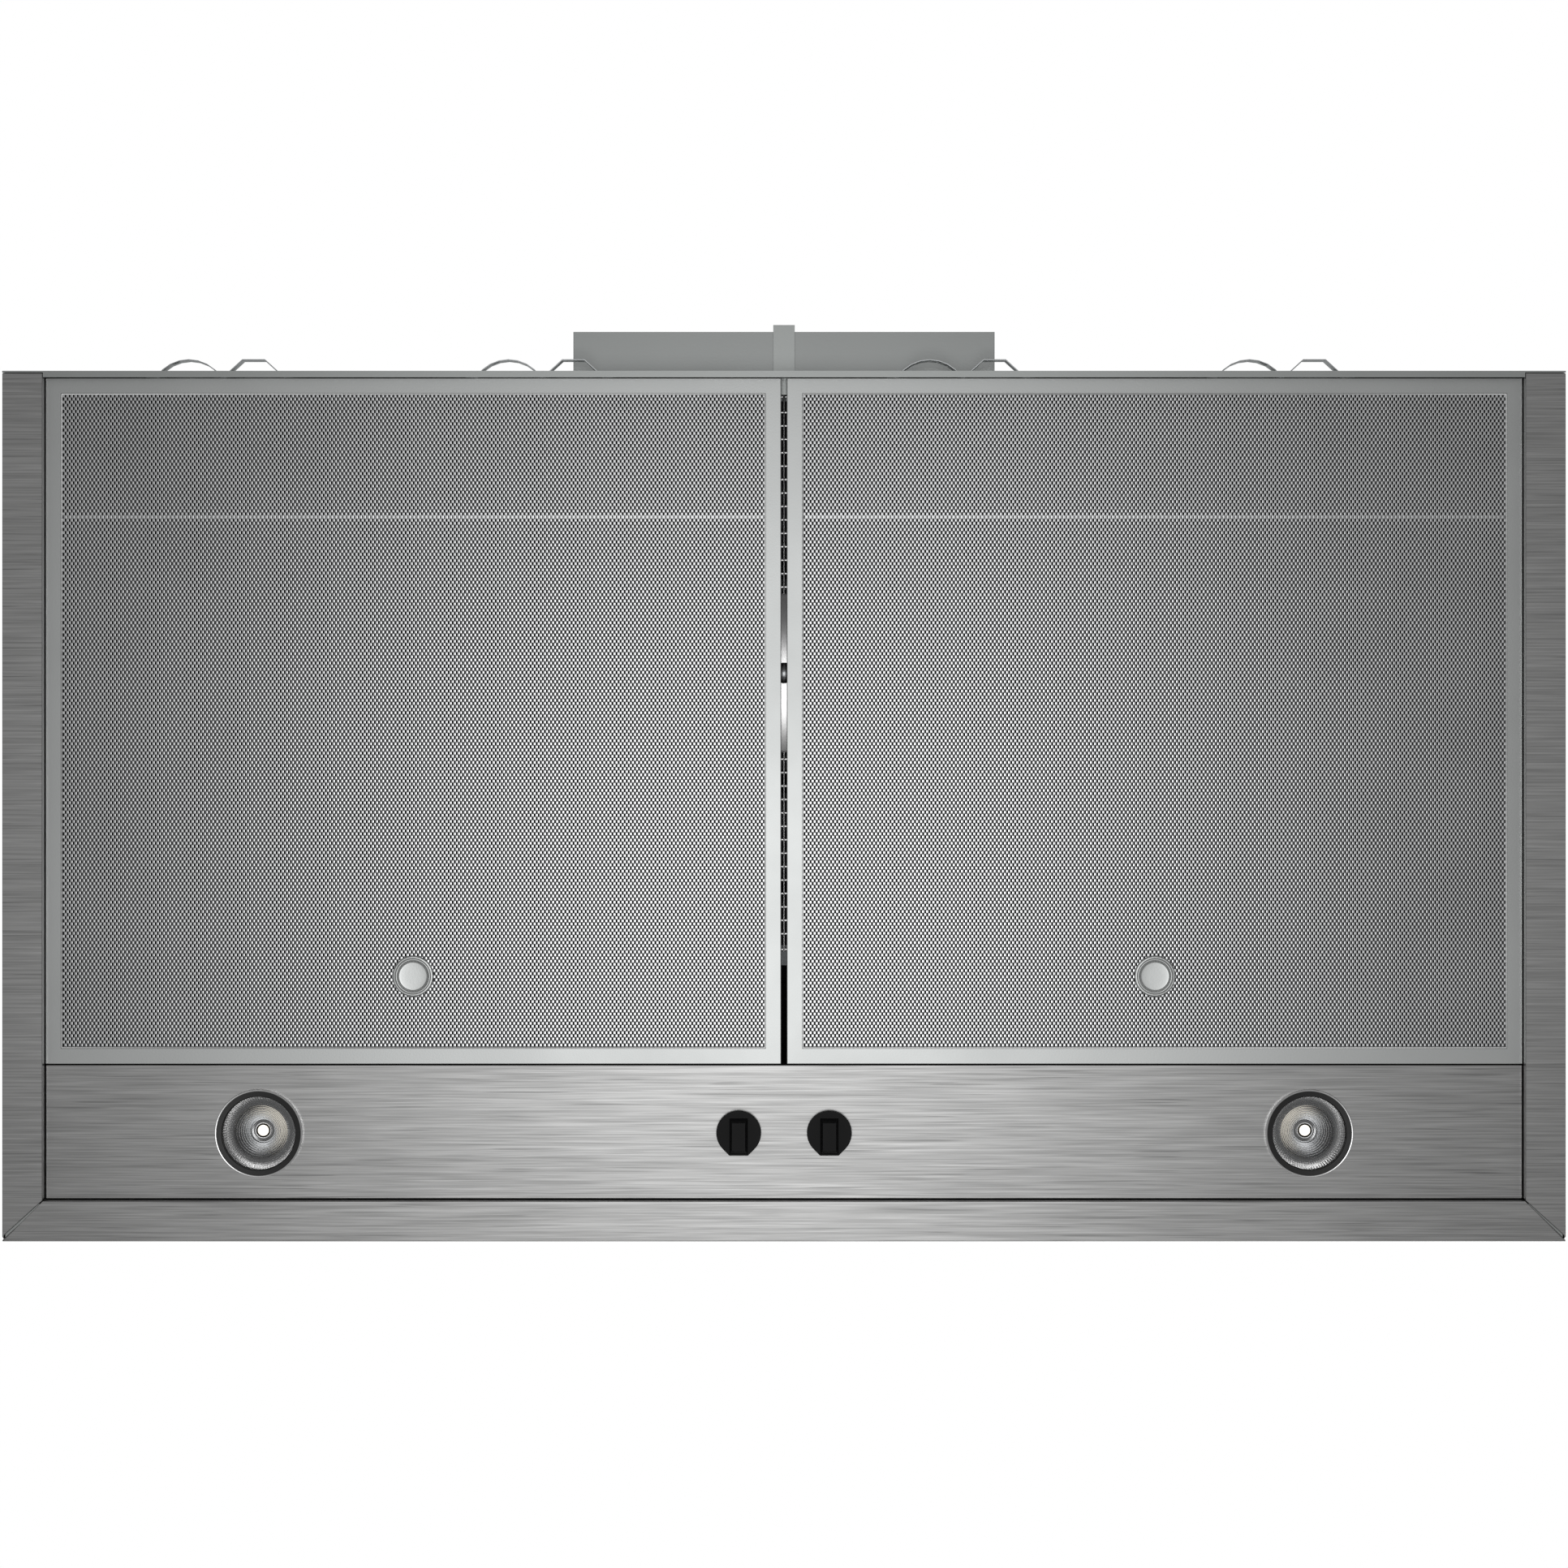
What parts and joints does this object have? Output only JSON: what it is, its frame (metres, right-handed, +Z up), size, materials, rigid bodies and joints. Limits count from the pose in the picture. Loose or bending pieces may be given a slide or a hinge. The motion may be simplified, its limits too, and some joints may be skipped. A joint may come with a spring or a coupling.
{
  "type": "range hood",
  "caption": "Wall range hood: folded steel canopy with rear duct collar, centrifugal blower, hinged mesh filters, recessed lamps and rotary controls.",
  "frame": {"origin": "centre of the flat top face, which fastens up against the underside of a cabinet", "axes": "+Z up out of the top face, -Y to the front, +Y out of the rear duct collar, +X to the right of a person who stands in front"},
  "size_m": [0.9128, 0.5401, 0.1574],
  "materials": {
    "brushed_steel": "brushed lengthwise",
    "satin_steel": "satin",
    "galvanised_steel": "dull zinc",
    "filter_frame_steel": "satin",
    "filter_mesh": "satin expanded mesh",
    "spring_steel": "bright",
    "black_plastic": "satin black",
    "black_painted_metal": "satin black",
    "dark_chrome": "dark polished",
    "reflector_coating": "vacuum metallised",
    "warm_emitter": "glowing",
    "cast_metal": "dull",
    "white_plastic": "matte"
  },
  "bodies": {
    "canopy": {"blower_inlet_plate": "galvanised_steel", "blower_scroll": "galvanised_steel", "blower_top_plate": "galvanised_steel", "canopy_shell": "brushed_steel", "collar_strap": "satin_steel", "control_panel": "brushed_steel", "damper_pin": "cast_metal", "duct_collar": "satin_steel", "fan_switch": "black_plastic", "fan_switch_nut": "cast_metal", "inlet_guard": "cast_metal", "inlet_ring": "black_plastic", "junction_box": "galvanised_steel", "junction_box_cover": "galvanised_steel", "led_driver": "white_plastic", "left_blower_bracket": "galvanised_steel", "left_lamp_bezel": "dark_chrome", "left_lamp_emitter": "warm_emitter", "left_lamp_housing": "cast_metal", "left_lamp_reflector": "reflector_coating", "left_panel_bracket": "galvanised_steel", "left_side_panel": "brushed_steel", "light_switch": "black_plastic", "light_switch_nut": "cast_metal", "motor_body": "black_painted_metal", "motor_capacitor": "cast_metal", "rear_filter_rail": "satin_steel", "rear_panel": "satin_steel", "right_blower_bracket": "galvanised_steel", "right_lamp_bezel": "dark_chrome", "right_lamp_emitter": "warm_emitter", "right_lamp_housing": "cast_metal", "right_lamp_reflector": "reflector_coating", "right_panel_bracket": "galvanised_steel", "right_side_panel": "brushed_steel", "top_outlet_cover": "galvanised_steel"},
    "blower_wheel": {"impeller": "black_plastic", "motor_shaft": "cast_metal", "impeller_nut": "cast_metal"},
    "left_damper": {"left_damper_flap": "galvanised_steel"},
    "right_damper": {"right_damper_flap": "galvanised_steel"},
    "light_control": {"light_knob": "black_plastic", "light_shaft": "cast_metal"},
    "fan_control": {"fan_knob": "black_plastic", "fan_shaft": "cast_metal"},
    "left_filter": {"left_filter_frame": "filter_frame_steel", "left_filter_mesh": "filter_mesh", "left_filter_pull": "filter_frame_steel", "left_filter_inner_spring": "spring_steel", "left_filter_outer_spring": "spring_steel"},
    "right_filter": {"right_filter_frame": "filter_frame_steel", "right_filter_mesh": "filter_mesh", "right_filter_pull": "filter_frame_steel", "right_filter_inner_spring": "spring_steel", "right_filter_outer_spring": "spring_steel"}
  },
  "joints": [
    {"name": "blower_spin", "type": "hinge", "parent": "canopy", "child": "blower_wheel", "pos_m": [0, 0.079, -0.0884], "axis": [0, 0, 1], "continuous": true},
    {"name": "light_knob_turn", "type": "hinge", "parent": "canopy", "child": "light_control", "pos_m": [-0.0265, -0.1911, -0.1444], "axis": [0, 0, 1], "range_deg": [0, 90]},
    {"name": "fan_knob_turn", "type": "hinge", "parent": "canopy", "child": "fan_control", "pos_m": [0.0265, -0.1911, -0.1444], "axis": [0, 0, 1], "range_deg": [0, 135]},
    {"name": "left_damper_hinge", "type": "hinge", "parent": "canopy", "child": "left_damper", "pos_m": [-0.0654, 0.268, -0.0308], "axis": [1, 0, 0], "range_deg": [0, 80]},
    {"name": "left_filter_hinge", "type": "hinge", "parent": "canopy", "child": "left_filter", "pos_m": [-0.2171, 0.2507, -0.1444], "axis": [1, 0, 0], "range_deg": [0, 75]},
    {"name": "right_damper_hinge", "type": "hinge", "parent": "canopy", "child": "right_damper", "pos_m": [0.0654, 0.268, -0.0308], "axis": [1, 0, 0], "range_deg": [0, 80]},
    {"name": "right_filter_hinge", "type": "hinge", "parent": "canopy", "child": "right_filter", "pos_m": [0.2171, 0.2507, -0.1444], "axis": [1, 0, 0], "range_deg": [0, 75]}
  ]
}
